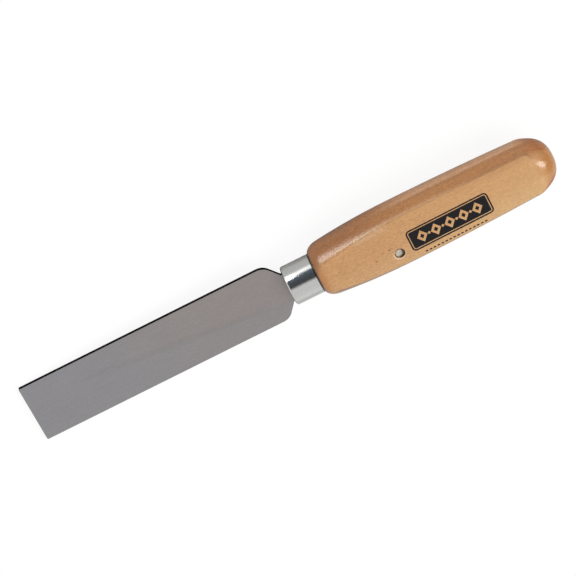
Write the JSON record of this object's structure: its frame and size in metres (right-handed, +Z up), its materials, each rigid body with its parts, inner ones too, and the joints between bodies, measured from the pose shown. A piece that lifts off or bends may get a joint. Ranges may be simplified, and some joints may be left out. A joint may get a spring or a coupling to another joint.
{
  "type": "putty knife",
  "caption": "Square-ended putty knife: flat steel blade with rounded shoulders, plated ferrule, and a turned hardwood handle with planed flats and a cross pin.",
  "frame": {"origin": "centre of the footprint of the tool's box, on the surface that it lies on", "axes": "+X along the tool towards the butt, in the plan; +Z up, away from the surface; +Y across the blade"},
  "size_m": [0.2052, 0.0234, 0.0204],
  "materials": {
    "blade_steel": "satin rolled steel with fine lengthwise grain",
    "handle_wood": "clear-lacquered light hardwood",
    "ferrule_plate": "bright plated drawn steel",
    "pin_steel": "cropped wire end, slightly rough"
  },
  "bodies": {
    "root": {"blade": "blade_steel", "handle": "handle_wood", "ferrule": "ferrule_plate", "pin": "pin_steel"}
  },
  "joints": []
}
